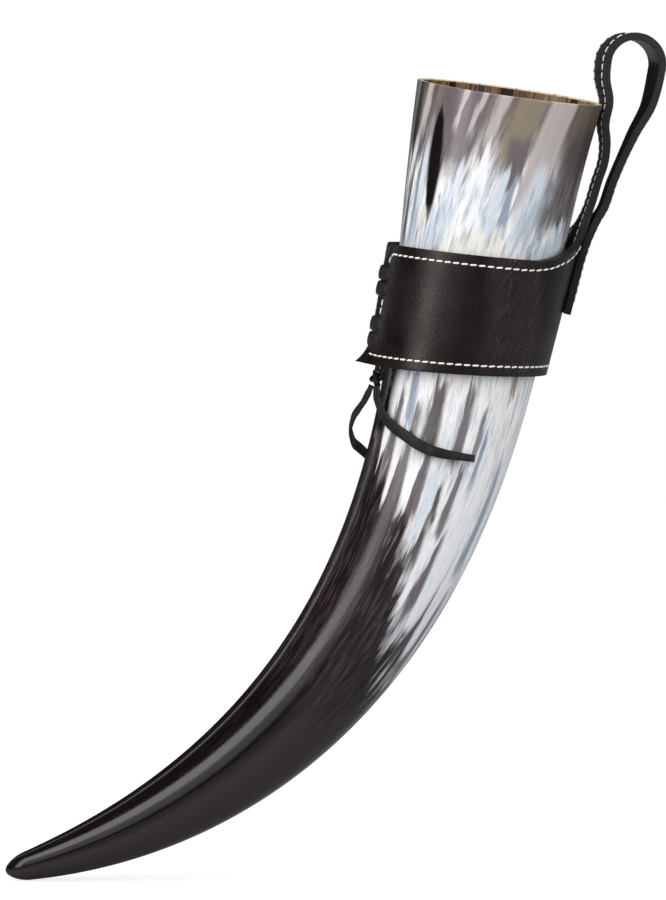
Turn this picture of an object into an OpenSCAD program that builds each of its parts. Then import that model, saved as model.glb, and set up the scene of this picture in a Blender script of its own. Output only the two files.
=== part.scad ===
// Polished drinking horn in a laced leather belt frog.
// The horn bends in the XZ plane, mouth up and tip to the left. The origin is the middle of the
// belt loop, and the belt runs through the loop roughly along Y.

/* [Horn] */
// Length along the horn's middle line, from the mouth to the tip
horn_len = 408; // [395:1:420]
// Outside diameter of the mouth
mouth_d = 75.2; // [73:0.1:77]
// Diameter that the upper part tapers towards
upper_d = 53.4; // [52:0.1:55]
// Diameter that the lower part swells towards
lower_d = 54.8; // [53:0.1:56]
// Diameter of the blunt tip before it is rounded
tip_d = 8.8; // [6:0.1:12]
// Length of the rounded end of the tip
tip_round = 9; // [5:0.5:16]
// Lean of the middle line at the mouth, in degrees from upright
mouth_lean = 13.6; // [12:0.1:15]
// Lean that the upper part turns towards
upper_lean = -7.8; // [-10:0.1:-6]
// Lean that the lower part turns towards
lower_lean = 50; // [48:0.5:52]
// Lean of the middle line at the tip
tip_lean = 77; // [72:0.5:82]
// Slant of the mouth's cut, rising away from the tip
rim_slant = 5.7; // [4:0.1:7]
// Dip of the mouth's cut towards the front
rim_dip = 3.7; // [0:0.1:6]
// Wall at the rim
rim_wall = 2.2; // [1.6:0.1:3]
// Wall gained over the depth of the hollow
wall_gain = 3; // [1:0.1:4]
// Depth of the hollow along the middle line
hollow_len = 296; // [240:1:320]

/* [Band] */
// Distance along the horn from the mouth to the middle of the band
band_down = 89.9; // [86:0.1:94]
// Height of the band at its front
band_h = 48; // [42:0.5:54]
// Distance that the band sits to the seam side of the horn's middle
band_shift = 1; // [0.6:0.1:1.4]
// Lean of the band beyond the horn's own lean
band_tip = 2.2; // [1.6:0.1:2.8]
// Mean gap between the horn and the lining
band_gap = 2.45; // [2.2:0.05:3]
// Flare of the band towards the mouth, in degrees
band_flare = 2.3; // [1.8:0.1:2.8]
// Slope of the top edge, higher at the strap
top_slope = 6.4; // [4:0.1:8]
// Slope of the bottom edge, lower at the seam
bottom_slope = 8.5; // [6:0.1:10]
// Turn of the frog about the band's axis, strap to the back
frog_turn = 11; // [8:0.5:14]
// Thickness of the outer leather
leather_t = 2.2; // [1.8:0.1:2.6]
// Thickness of the lining
lining_t = 0.8; // [0.6:0.1:1]
// Gap between the two flaps at the seam
seam_gap = 2.4; // [1.5:0.1:3]
// Radius of the flaps' upper corners
corner_r = 8; // [4:0.5:10]

/* [Strap] */
// Width of the belt strap
strap_w = 24; // [22:0.5:26]
// Width of the sweep from the band's edge into the strap, on each side
sweep_w = 34; // [30:0.5:36]
// Height of that sweep
sweep_h = 22; // [18:0.5:24]
// How far the strap's inner leg bows out past the rim
leg_bow = 6.2; // [5.4:0.1:7]
// Height of the bow above the band's middle
bow_up = 70; // [66:0.5:74]
// Gap between the rim and the inner leg
rim_gap = 0.5; // [0.4:0.1:0.8]
// Radius of the loop's top at the middle of the strap's thickness
loop_r = 11.4; // [10.5:0.1:12]
// Distance of the loop's middle out from the rim
loop_out = 8.6; // [8.2:0.1:9.5]
// Height of the loop's middle above the band's middle
loop_up = 111; // [108:0.5:114]
// Height above the band's middle at which the two legs are sewn together
join_up = 51; // [48:0.5:54]
// Gap between the sewn legs
join_gap = 0.5; // [0.3:0.1:0.8]
// Gap between the strap's legs along the slit above the join
slit_gap = 3.2; // [2.8:0.1:3.8]
// Turn of the strap's legs at the bow, back from the band's own turn, in degrees
bow_twist = 10.5; // [8:0.5:12]
// The same turn at the loop
loop_twist = 4; // [2:0.5:6]
// Height of the strap's lower end above the band's middle
strap_end = 7; // [4:0.5:12]

/* [Stitching] */
// Length of a stitch
stitch_len = 2.4; // [1.8:0.1:2.8]
// Pitch of the stitches
stitch_pitch = 3.3; // [3:0.1:4]
// Width of the thread
thread_w = 0.8; // [0.6:0.1:1]
// Height of a stitch above the leather
thread_t = 0.5; // [0.3:0.1:0.7]
// Distance of the stitch rows from the band's edges
edge_margin = 4; // [3:0.1:5]
// Distance of the stitch rows from the strap's edges
strap_margin = 2.4; // [2:0.1:3]

/* [Lace] */
// Width of the lace where it crosses the seam
lace_w = 5.4; // [4.6:0.1:5.8]
// Thickness of the lace
lace_t = 1.2; // [0.9:0.1:1.3]
// Width of the lace inside the band
inner_w = 4.4; // [4:0.1:4.6]
// Diameter of the lace holes
hole_d = 3.8; // [3.4:0.1:4.2]
// Room between the lace and its holes, all round
hole_gap = 0.2; // [0.1:0.05:0.3]
// Distance of the holes from the seam's middle
hole_reach = 10; // [9.6:0.1:10.6]
// Height of the upper pair of crossings
upper_pair = 4.8; // [3:0.1:6]
// Height of the lower pair of crossings
lower_pair = -16; // [-18:0.1:-14]
// Pitch of the two crossings of a pair
pair_pitch = 6.4; // [6.1:0.1:7]
// Thickness of the lace's free ends
tail_t = 1.4; // [1.2:0.1:1.6]
// Width of the lace's free ends
tail_w = 4.6; // [4:0.1:5]

/* [Hidden] */

horn_sides = 40;
horn_rings = 36;
tip_rings = 5;
hollow_rings = 22;
path_steps = 160;
// Room kept between pieces that lie on each other
lay_gap = 0.05;
// Room under a straight stitch where the leather is hollow
stitch_gap = 0.25;

function unit(v) = v / norm(v);
function ease(x) = let (t = max(0, min(1, x))) t * t * (3 - 2 * t);
function bezier(c, t) =
  c[0] * pow(1 - t, 3) + 3 * c[1] * t * pow(1 - t, 2) + 3 * c[2] * t * t * (1 - t) + c[3] * pow(t, 3);

// Horn: lean, radius and place of the middle line at t, from 0 at the mouth to 1 at the tip
leans = [mouth_lean, upper_lean, lower_lean, tip_lean];
radii = [mouth_d, upper_d, lower_d, tip_d] / 2;
tip_from = 1 - tip_round / horn_len;
hollow_end = hollow_len / horn_len;
function horn_lean(t) = bezier(leans, t);
function tip_share(t) = max(0, (t - tip_from) / (1 - tip_from));
function horn_r(t) = bezier(radii, t) * sqrt(max(0, 1 - pow(tip_share(t), 2)));
function hollow_r(t) =
  (bezier(radii, t) - rim_wall - wall_gain * t / hollow_end) * sqrt(max(0, 1 - pow(t / hollow_end, 5)));
function down(t) = [-sin(horn_lean(t)), 0, -cos(horn_lean(t))];
function outward(t) = [cos(horn_lean(t)), 0, -sin(horn_lean(t))];
horn_path = [for (i = 0, p = [0, 0, 0]; i <= path_steps + 1;
  p = p + horn_len / path_steps * down((i + 0.5) / path_steps), i = i + 1) p];
function horn_pt(t) =
  let (x = t * path_steps, i = floor(x)) horn_path[i] + (horn_path[i + 1] - horn_path[i]) * (x - i);
// The mouth's cut is slanted; the slant fades out over the first part of the horn
function rim_fade(t) = pow(max(0, 1 - t / 0.08), 2);
function rim_rise(t, r, a) = rim_fade(t) * r * (tan(rim_slant) * cos(a) + tan(rim_dip) * sin(a));
function horn_skin(t, r, a) =
  horn_pt(t) + r * (cos(a) * outward(t) + sin(a) * [0, 1, 0]) - rim_rise(t, r, a) * down(t);

// Frog frame: x out to the strap, y to the back, z up the band's axis
total_t = leather_t + lining_t;
band_t = band_down / horn_len;
band_lean = horn_lean(band_t) + band_tip;
band_at = horn_pt(band_t) - band_shift * outward(band_t);
function to_frog(p) =
  let (q = p - band_at, x = q.x * cos(band_lean) - q.z * sin(band_lean))
  [x * cos(frog_turn) + q.y * sin(frog_turn), q.y * cos(frog_turn) - x * sin(frog_turn),
    q.x * sin(band_lean) + q.z * cos(band_lean)];
function from_frog(p) =
  let (x = p.x * cos(frog_turn) - p.y * sin(frog_turn), y = p.x * sin(frog_turn) + p.y * cos(frog_turn))
  band_at + [x * cos(band_lean) + p.z * sin(band_lean), y, p.z * cos(band_lean) - x * sin(band_lean)];

// Band wall: radius of the middle of its thickness, edges and corners
bore_r = horn_r(band_t) + band_gap;
function wall_r(h) = bore_r + total_t / 2 + tan(band_flare) * h;
function arc_deg(len) = len / wall_r(0) * 180 / PI;
function wall_pt(a, h, d) = [(wall_r(h) + d) * cos(a), (wall_r(h) + d) * sin(a), h];
flap_end = 180 - arc_deg(seam_gap / 2);
function corner_drop(a) =
  let (e = max(0, corner_r - (flap_end - abs(a)) / arc_deg(1))) corner_r - sqrt(pow(corner_r, 2) - e * e);
function edge_top(a) = band_h / 2 + tan(top_slope) * wall_r(0) * cos(a) - corner_drop(a);
function edge_bottom(a) = -band_h / 2 + tan(bottom_slope) * wall_r(0) * cos(a);

// Strap: the inner leg's distance from the band's axis at height h, then the loop and the outer leg
root_h = edge_top(0);
root_u = wall_r(root_h);
rim_at = to_frog(horn_skin(0, mouth_d / 2, frog_turn));
bow_u = rim_at.x + leg_bow;
rim_u = rim_at.x + rim_gap + total_t / 2;
loop_u = rim_at.x + loop_out;
inner_knots = [[root_h - 12, wall_r(root_h - 12)], [root_h, root_u], [root_h + 12, root_u + 1.3],
  [join_up + 1, root_u + 3.4], [bow_up - 8, bow_u - 0.9], [bow_up, bow_u], [bow_up + 8, bow_u - 1],
  [bow_up + 15, bow_u - 3.4], [rim_at.z + 1.5, rim_u], [rim_at.z + 10, loop_u - loop_r + 1.2],
  [loop_up, loop_u - loop_r], [loop_up + 10, loop_u - loop_r]];
outer_knots = [[join_up - 20, inner_u(join_up - 20) + total_t + join_gap],
  [join_up - 13, inner_u(join_up - 13) + total_t + join_gap],
  [join_up - 6, inner_u(join_up - 6) + total_t + 0.35 * slit_gap],
  [join_up + 1, inner_u(join_up + 1) + total_t + 0.8 * slit_gap],
  [bow_up - 6, bow_u + total_t + slit_gap - 0.8], [bow_up + 14, loop_u + loop_r - 4],
  [loop_up - 16, loop_u + loop_r - 0.6], [loop_up - 8, loop_u + loop_r + 0.1],
  [loop_up, loop_u + loop_r], [loop_up + 10, loop_u + loop_r]];
// Smooth curve through knots [h, u] with rising h
function knot_at(k, h, i = 1) = i + 2 >= len(k) - 1 || h < k[i + 1][0] ? i : knot_at(k, h, i + 1);
function slope_at(k, i) = (k[i + 1][1] - k[i - 1][1]) / (k[i + 1][0] - k[i - 1][0]);
function smooth_u(k, h) =
  let (i = knot_at(k, h), w = k[i + 1][0] - k[i][0], t = (h - k[i][0]) / w)
  bezier([k[i][1], k[i][1] + slope_at(k, i) * w / 3,
    k[i + 1][1] - slope_at(k, i + 1) * w / 3, k[i + 1][1]], t);
function inner_u(h) = h < root_h ? wall_r(h) : smooth_u(inner_knots, h);
function outer_u(h) = h < join_up - 13 ? inner_u(h) + total_t + join_gap : smooth_u(outer_knots, h);
// Height above the root over which the strap's section goes flat
flat_by = 18;
// Curve of the strap's section across its width, as the band's at the root and flat in the loop
function cross_bend(h) = (1 - ease((h - root_h) / flat_by)) * 180 / PI / root_u;

// Height of row h at y across: the sweep starts from the band's own edge, which drops away from the strap
function sweep_at(y, h) = h - (root_h - edge_top(arc_deg(y))) * (1 - ease((h - root_h) / sweep_h));
// Turn of the strap about the band's axis, back towards the line of sight, at height h
function strap_twist(h) =
  bow_twist * ease((h - root_h) / (join_up - root_h))
  - (bow_twist - loop_twist) * ease((h - bow_up) / (loop_up - bow_up));

leg_step = 4;
inner_hs = [for (h = root_h + sweep_h; h < loop_up - 1; h = h + leg_step) h];
outer_n = ceil((loop_up - strap_end) / leg_step);
outer_hs = [for (i = [0 : outer_n]) loop_up - (loop_up - strap_end) * i / outer_n];
// Rows of the strap: [place in the u-h plane, half width, section bend in degrees per mm]
strap_rows = concat(
  [for (s = [10 : 10 : 80]) let (h = root_h + sweep_h * (1 - cos(s)))
    [[inner_u(h), h], strap_w / 2 + sweep_w * (1 - sin(s)), cross_bend(h)]],
  [for (h = inner_hs) [[inner_u(h), h], strap_w / 2, cross_bend(h)]],
  [for (s = [180 : -15 : 15]) [[loop_u + loop_r * cos(s), loop_up + loop_r * sin(s)], strap_w / 2, 0]],
  [for (h = outer_hs) [[outer_u(h), h], strap_w / 2, -cross_bend(h)]]);
strap_n = len(strap_rows);
function strap_dir(k) =
  unit(strap_rows[min(k + 1, strap_n - 1)][0] - (k == 0 ? [root_u, root_h] : strap_rows[k - 1][0]));
// Point y across and d out of the middle of a section at b in the u-h plane, running along t with bend g
function section_pt(b, t, g, y, d) =
  let (n = [t[1], -t[0]], a = g * y,
    sag = abs(g) < 0.001 ? 0 : (1 - cos(a)) / g * 180 / PI,
    side = abs(g) < 0.001 ? y : sin(a) / g * 180 / PI,
    q = b - [sag, 0] * sign(n[0]) + n * (d * cos(a)),
    y1 = side + d * sin(a), e = q[0] - b[0], w = strap_twist(b[1]))
  [b[0] + e * cos(w) + y1 * sin(w), y1 * cos(w) - e * sin(w), sweep_at(y, q[1])];
// Point of the strap at row k, with d to the loop's inside, and of its inner leg at height h
function strap_pt(k, y, d) = section_pt(strap_rows[k][0], strap_dir(k), strap_rows[k][2], y, d);
function leg_pt(h, y, d) =
  section_pt([inner_u(h), h], unit([inner_u(h + 0.5) - inner_u(h - 0.5), 1]), cross_bend(h), y, d);

// One layer of the frog, from d0 to d1 out of the middle of its thickness: band and strap in one cut
root_a = arc_deg(strap_w / 2 + sweep_w);
lace_zone = 180 - arc_deg(2 * hole_reach);
mid_cols = 12;
side_cols = 16;
band_rows = 5;
end_cols = [0.25, 0.45, 0.62, 0.78, 0.9, 1];
half_cols = [for (i = [1 : side_cols]) root_a + (lace_zone - root_a) * i / side_cols];
flap_cols = [for (f = end_cols) lace_zone + (flap_end - lace_zone) * f];
function mirror_cols(c) = [for (i = [len(c) - 1 : -1 : 0]) -c[i]];
mid_angles = [for (i = [0 : mid_cols]) root_a * (2 * i / mid_cols - 1)];
module frog_layer(d0, d1, to_seam) {
  side = to_seam ? concat(half_cols, flap_cols) : half_cols;
  cols = concat(mirror_cols(side), mid_angles, side);
  n = len(cols);
  first = len(side);
  last = first + mid_cols;
  function band_pt(i, j, d) =
    let (a = cols[i], h = edge_bottom(a) + (edge_top(a) - edge_bottom(a)) * j / band_rows) wall_pt(a, h, d);
  function half_w(k) = strap_rows[k][1];
  function layer(d) = concat(
    [for (i = [0 : n - 1], j = [0 : band_rows]) band_pt(i, j, d)],
    [for (k = [0 : strap_n - 1], m = [0 : mid_cols]) strap_pt(k, half_w(k) * (2 * m / mid_cols - 1), d)]);
  count = n * (band_rows + 1) + strap_n * (mid_cols + 1);
  function b(i, j) = i * (band_rows + 1) + j;
  function s(k, m) = k < 0 ? b(first + m, band_rows) : n * (band_rows + 1) + k * (mid_cols + 1) + m;
  quads = concat(
    [for (i = [0 : n - 2], j = [0 : band_rows - 1]) [b(i, j), b(i + 1, j), b(i + 1, j + 1), b(i, j + 1)]],
    [for (k = [0 : strap_n - 1], m = [0 : mid_cols - 1])
      [s(k - 1, m), s(k - 1, m + 1), s(k, m + 1), s(k, m)]]);
  rim = concat(
    [for (i = [0 : n - 2]) [b(i, 0), b(i + 1, 0)]],
    [for (j = [0 : band_rows - 1]) [b(n - 1, j), b(n - 1, j + 1)]],
    [for (j = [0 : band_rows - 1]) [b(0, j + 1), b(0, j)]],
    [for (i = [last : n - 2]) [b(i + 1, band_rows), b(i, band_rows)]],
    [for (i = [0 : first - 1]) [b(i + 1, band_rows), b(i, band_rows)]],
    [for (k = [0 : strap_n - 1]) [s(k - 1, mid_cols), s(k, mid_cols)]],
    [for (k = [0 : strap_n - 1]) [s(k, 0), s(k - 1, 0)]],
    [for (m = [0 : mid_cols - 1]) [s(strap_n - 1, m + 1), s(strap_n - 1, m)]]);
  polyhedron(
    points = concat(layer(d1), layer(d0)),
    faces = concat(
      [for (q = quads) each [[q[0], q[3], q[2]], [q[0], q[2], q[1]]]],
      [for (q = quads) each [[q[0], q[1], q[2]] + count * [1, 1, 1], [q[0], q[2], q[3]] + count * [1, 1, 1]]],
      [for (e = rim) each [[e[0], e[1], e[1] + count], [e[0], e[1] + count, e[0] + count]]]));
}

// Lace: holes, crossings and inside runs
hole_a = arc_deg(hole_reach);
front_a = 180 + hole_a;
back_a = 180 - hole_a;
end_run_a = 180 + arc_deg(seam_gap / 2 + inner_w / 2 + 0.6);
crossings = [upper_pair + pair_pitch / 2, upper_pair - pair_pitch / 2,
  lower_pair + pair_pitch / 2, lower_pair - pair_pitch / 2];
leather_in = lining_t - total_t / 2;
leather_out = total_t / 2;
knot_a = (front_a + end_run_a) / 2;
knot_scale = 1.1;
knot_thread = 0.85;
knot_h = edge_bottom(knot_a) - 3 * knot_scale - knot_thread - 0.6;

// Routes of the lace's free ends, as places of the tape's middle in the part's frame.
// The front end lies round the horn, and the back end swings out and goes behind it.
tail_front_pts = [
  [-103, -23.5, -129.5], [-103, -24, -132], [-103, -24, -134], [-102, -25, -137], [-101, -26, -140],
  [-99, -28, -143], [-96, -31, -146], [-93, -34, -148], [-90, -36, -150], [-87, -38, -152],
  [-83, -39, -154], [-80, -40, -155], [-76, -40, -156], [-73, -40, -156.5], [-70, -39, -157],
  [-67, -38, -157.5], [-64, -37, -158]];
tail_back_pts = [
  [-105, -17, -129.5], [-106, -17, -132], [-107, -16, -134], [-108, -15, -136], [-110, -14, -139],
  [-112, -12, -142], [-113, -9, -145], [-113.5, -6, -148], [-113, -2, -151], [-112, 2, -154],
  [-110, 5, -156], [-108, 9, -158], [-106, 12, -160], [-103, 15, -161], [-99, 18, -162],
  [-95.5, 20, -162.5], [-92, 21.5, -163]];
// Middle of the horn beside the lace's ends, which the tape's face turns away from
tail_middle = [-74, -8.5, -145];

belt_at = from_frog([loop_u, 0, loop_up]);
module placed() {
  translate(-belt_at) children();
}
module in_frog() {
  placed() translate(band_at) rotate([0, band_lean, 0]) rotate([0, 0, frog_turn]) children();
}

// Closed or open tube through points, with a ring of places around each
module skin(rings, closed_loop = false) {
  n = len(rings);
  m = len(rings[0]);
  spans = closed_loop ? n : n - 1;
  function at(i, j) = (i % n) * m + (j % m);
  walls = [for (i = [0 : spans - 1], j = [0 : m - 1]) each [
    [at(i, j), at(i, j + 1), at(i + 1, j + 1)], [at(i, j), at(i + 1, j + 1), at(i + 1, j)]]];
  ends = closed_loop ? [] : concat(
    [for (j = [1 : m - 2]) [at(0, 0), at(0, j + 1), at(0, j)]],
    [for (j = [1 : m - 2]) [at(n - 1, 0), at(n - 1, j), at(n - 1, j + 1)]]);
  polyhedron(points = [for (r = rings) each r], faces = concat(walls, ends));
}

module horn() {
  outer_ts = concat(
    [for (i = [0 : horn_rings]) tip_from * i / horn_rings],
    [for (i = [1 : tip_rings]) tip_from + (1 - tip_from) * sin(i * 84 / tip_rings)]);
  inner_ts = [for (i = [0 : hollow_rings - 1]) hollow_end * sin(90 * i / hollow_rings)];
  inner_last = hollow_end * sin(89);
  function ring(t, r) = [for (j = [0 : horn_sides - 1]) horn_skin(t, r, 360 * j / horn_sides)];
  hollow = [for (i = [len(inner_ts) - 1 : -1 : 0]) ring(inner_ts[i], hollow_r(inner_ts[i]))];
  outside = [for (t = outer_ts) ring(t, horn_r(t))];
  color([0.72, 0.66, 0.58]) placed()
    skin(concat([ring(inner_last, hollow_r(inner_last))], hollow, outside));
}

module lace_holes() {
  for (h = crossings, a = [front_a, back_a])
    rotate([0, 0, a]) translate([wall_r(h) - 2 * total_t, 0, h]) rotate([0, 90, 0])
      cylinder(d = hole_d, h = 4 * total_t, $fn = 32);
}

module frog_leather() {
  color([0.12, 0.09, 0.08]) in_frog() difference() {
    frog_layer(leather_in, leather_out, true);
    lace_holes();
  }
}

module frog_lining() {
  color([0.3, 0.2, 0.14]) in_frog() frog_layer(-total_t / 2, leather_in, false);
}

// One stitch: a short bar at p that runs along t and stands on the face whose normal is n
module stitch(p, t, n) {
  x = unit(t - n * (t * n));
  y = cross(n, x);
  multmatrix([[x.x, y.x, n.x, p.x], [x.y, y.y, n.y, p.y], [x.z, y.z, n.z, p.z], [0, 0, 0, 1]])
    translate([-stitch_len / 2, -thread_w / 2, 0]) cube([stitch_len, thread_w, thread_t]);
}
module thread() {
  color([0.93, 0.91, 0.87]) in_frog() children();
}
// A stitch on the outside of the band at angle a and height h, leaning by the slope s
module wall_stitch(a, h, s) {
  n = [cos(a), sin(a), 0];
  stitch(wall_pt(a, h, leather_out + stitch_gap), [-sin(a), cos(a), s], n);
}

// Top row on one side: along the edge, then up the sweep as far as the strap's outer leg
sweep_from = strap_w / 2 + sweep_w;
row_a = sweep_w + edge_margin;
row_b = sweep_h + edge_margin;
function row_sweep(s) = [sweep_from - row_a * cos(s), sweep_h - row_b * sin(s)];
function row_step(s) = stitch_pitch / norm([row_a * sin(s), row_b * cos(s)]) * 180 / PI;
// The row ends a stitch short of the outer leg's edge
row_end = acos((sweep_from - strap_w / 2 - stitch_len) / row_a);
row_places = [for (s = 90 - row_step(90); s > row_end; s = s - row_step(s)) s];
// Face of the band and strap at arc y from the strap's middle and height h
function root_face(y, h, d) = h < root_h ? wall_pt(arc_deg(y), sweep_at(y, h), d) : leg_pt(h, y, d);
module thread_top(side) {
  from_a = root_a;
  to_a = flap_end - arc_deg(corner_r);
  n = floor((to_a - from_a) / arc_deg(stitch_pitch));
  thread() {
    for (i = [0 : n]) {
      a = from_a + i * arc_deg(stitch_pitch);
      wall_stitch(side * a, edge_top(a) - edge_margin, -side * tan(top_slope) * sin(a));
    }
    for (q = [25, 68]) {
      turn_r = corner_r - edge_margin;
      a = flap_end - arc_deg(corner_r - turn_r * sin(q));
      h = band_h / 2 + tan(top_slope) * wall_r(0) * cos(a) - corner_r + turn_r * cos(q);
      wall_stitch(side * a, h, -side * tan(q));
    }
    for (s = row_places) {
      p = row_sweep(s);
      q = row_sweep(s - row_step(s) / 4);
      face = root_face(side * p[0], root_h + p[1], leather_out);
      n = unit(face - root_face(side * p[0], root_h + p[1], leather_in));
      stitch(face + 2 * stitch_gap * n, root_face(side * q[0], root_h + q[1], leather_out) - face, n);
    }
  }
}
module thread_top_front() {
  thread_top(-1);
}
module thread_top_back() {
  thread_top(1);
}

module thread_bottom() {
  reach = flap_end - arc_deg(edge_margin);
  n = floor(2 * reach / arc_deg(stitch_pitch));
  thread() for (i = [0 : n]) {
    a = -reach + 2 * reach * i / n;
    wall_stitch(a, edge_bottom(a) + edge_margin, -tan(bottom_slope) * sin(a));
  }
}

// Row beside the seam, left out where the lace crosses it
module thread_seam(side) {
  a = flap_end - arc_deg(edge_margin);
  low = edge_bottom(a) + edge_margin + stitch_pitch / 2;
  high = edge_top(a) - corner_r + stitch_len / 2;
  middle = (crossings[1] + crossings[2]) / 2;
  n = ceil(band_h / stitch_pitch);
  clear = (lace_w + stitch_len) / 2 + lay_gap;
  thread() for (i = [-n : n]) {
    h = middle + (i + 0.5) * stitch_pitch;
    hidden = [for (c = crossings) if (abs(h - c) < clear) 1];
    if (h > low && h < high && len(hidden) == 0)
      stitch(wall_pt(side * a, h, leather_out + stitch_gap), [0, 0, 1], [cos(a), side * sin(a), 0]);
  }
}
module thread_seam_front() {
  thread_seam(-1);
}
module thread_seam_back() {
  thread_seam(1);
}

// Row along one edge of the strap, on the face away from the loop's inside
module thread_strap(side) {
  y = side * (strap_w / 2 - strap_margin);
  lengths = [for (k = 1, s = 0; k < strap_n; s = s + norm(strap_rows[k][0] - strap_rows[k - 1][0]), k = k + 1) s];
  total = lengths[strap_n - 2];
  function row_at(s, k = 0) = k + 2 >= strap_n - 1 || s < lengths[k + 1] ? k : row_at(s, k + 1);
  function along(s, d) =
    let (k = row_at(s), f = (s - lengths[k]) / (lengths[k + 1] - lengths[k]))
    strap_pt(k, y, d) * (1 - f) + strap_pt(k + 1, y, d) * f;
  start = 5;
  n = floor((total - start - stitch_len) / stitch_pitch);
  thread() for (i = [0 : n]) {
    s = start + i * stitch_pitch;
    out = along(s, -total_t / 2);
    inside = along(s, total_t / 2);
    t = along(min(total, s + 1), 0) - along(s - 1, 0);
    nrm = unit(out - inside);
    stitch(out + stitch_gap * nrm, t, nrm);
  }
}
module thread_strap_front() {
  thread_strap(-1);
}
module thread_strap_back() {
  thread_strap(1);
}

// Strip that follows the band's wall: angles a0 to a1, heights h0 to h1, from d out of the wall's middle
module strip(a0, a1, h0, h1, d, t = lace_t) {
  low = wall_r(h0) + d;
  high = wall_r(h1) + d;
  rotate([0, 0, a0]) rotate_extrude(angle = a1 - a0, $fn = 64)
    polygon([[low, h0], [low + t, h0], [high + t, h1], [high, h1]]);
}
lace_in = leather_in - 2 * lay_gap - lace_t;
// Leather past a hole where the lace folds into it, and how much thinner it is where it folds on itself
fold_room = 0.5;
fold_in = 0.1;
lace_out = leather_out + lay_gap;
module inner_run(a, h_low, h_high) {
  half = arc_deg(inner_w / 2);
  strip(a - half, a + half, h_low, h_high, lace_in);
}
module lace() {
  half = inner_w / 2;
  peg_d = hole_d - 2 * hole_gap;
  end_h = knot_h + 3 * knot_scale - 0.6;
  color([0.1, 0.08, 0.07]) in_frog() {
    for (h = crossings) {
      pad = arc_deg(peg_d / 2 + fold_room);
      strip(back_a - pad, front_a + pad, h - lace_w / 2, h + lace_w / 2, lace_out);
      for (a = [front_a, back_a])
        rotate([0, 0, a]) translate([wall_r(h) + lace_in + lace_t / 2, 0, h]) rotate([0, 90, 0])
          cylinder(d = peg_d, h = lace_out - lace_in, $fn = 32);
    }
    inner_run(back_a, crossings[1] - half, crossings[0] + half);
    inner_run(front_a, crossings[2] - half, crossings[1] + half);
    inner_run(back_a, crossings[3] - half, crossings[2] + half);
    inner_run(front_a, end_h, crossings[3] + half);
    inner_run(end_run_a, end_h, crossings[0] + half);
    strip(end_run_a, front_a + arc_deg(half), crossings[0] - half + fold_in, crossings[0] + half - fold_in,
      lace_in + fold_in, lace_t - 2 * fold_in);
  }
}

// Overhand knot under the band's front flap
module lace_knot() {
  rings = 48;
  function knot_pt(a) = knot_scale * [sin(a) + 2 * sin(2 * a), cos(a) - 2 * cos(2 * a), -1.1 * sin(3 * a)];
  function ring(i) =
    let (a = 360 * i / rings, p = knot_pt(a), t = unit(knot_pt(a + 1) - knot_pt(a - 1)),
      r = unit([p.x, p.y, 0]), n = unit(r - t * (r * t)), b = cross(t, n))
    [for (j = [0 : 7]) p + knot_thread * (cos(45 * j) * n + sin(45 * j) * b)];
  color([0.1, 0.08, 0.07]) in_frog()
    rotate([0, 0, knot_a]) translate([wall_r(knot_h) - 1, 0, knot_h]) rotate([0, 90, 0])
      skin([for (i = [0 : rings - 1]) ring(i)], true);
}

// Flat tape along points, with its face turned away from the horn's middle
module tape(pts, w, t) {
  n = len(pts);
  function dir(i) = unit(pts[min(i + 1, n - 1)] - pts[max(i - 1, 0)]);
  function face(i) = let (f = pts[i] - tail_middle) [f.x, f.y, 0];
  function ring(i) =
    let (d = dir(i), f = face(i), y = unit(f - d * (f * d)), x = cross(y, d))
    [for (j = [0 : 7]) pts[i] + w / 2 * cos(45 * j) * x + t / 2 * sin(45 * j) * y];
  skin([for (i = [0 : n - 1]) ring(i)]);
}
module lace_tail_front() {
  color([0.13, 0.11, 0.1]) tape(tail_front_pts, tail_w, tail_t);
}
module lace_tail_back() {
  color([0.13, 0.11, 0.1]) tape(tail_back_pts, tail_w, tail_t);
}

horn();
frog_leather();
frog_lining();
thread_top_front();
thread_top_back();
thread_bottom();
thread_seam_front();
thread_seam_back();
thread_strap_front();
thread_strap_back();
lace();
lace_knot();
lace_tail_front();
lace_tail_back();
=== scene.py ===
"""Dresses the drinking horn and its belt frog, and sets the camera, the lights and the floor."""
import math
import random

import bmesh
import bpy
import numpy as np
from mathutils import Matrix, Vector
from mathutils.bvhtree import BVHTree


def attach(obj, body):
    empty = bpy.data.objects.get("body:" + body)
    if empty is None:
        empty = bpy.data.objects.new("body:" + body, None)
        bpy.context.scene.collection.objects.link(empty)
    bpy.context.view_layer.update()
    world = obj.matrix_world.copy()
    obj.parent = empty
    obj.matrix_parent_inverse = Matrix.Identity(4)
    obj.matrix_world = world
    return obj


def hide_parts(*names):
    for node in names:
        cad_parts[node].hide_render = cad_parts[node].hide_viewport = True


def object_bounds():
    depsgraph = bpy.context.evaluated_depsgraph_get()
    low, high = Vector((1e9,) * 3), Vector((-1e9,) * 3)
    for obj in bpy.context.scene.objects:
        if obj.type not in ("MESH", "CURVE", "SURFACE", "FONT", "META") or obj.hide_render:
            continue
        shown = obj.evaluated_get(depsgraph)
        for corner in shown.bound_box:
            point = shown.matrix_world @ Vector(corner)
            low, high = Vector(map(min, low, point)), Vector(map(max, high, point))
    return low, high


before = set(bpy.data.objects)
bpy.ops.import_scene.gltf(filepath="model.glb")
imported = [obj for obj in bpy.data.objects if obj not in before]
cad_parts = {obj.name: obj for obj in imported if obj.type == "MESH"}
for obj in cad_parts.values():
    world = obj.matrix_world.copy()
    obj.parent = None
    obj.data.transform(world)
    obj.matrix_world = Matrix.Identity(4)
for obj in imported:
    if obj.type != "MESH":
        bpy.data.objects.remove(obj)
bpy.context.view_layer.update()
random.seed(7)

# Sizes are in millimetres and degrees unless a heading says otherwise. MM turns them into metres.
MM = 0.001

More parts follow.
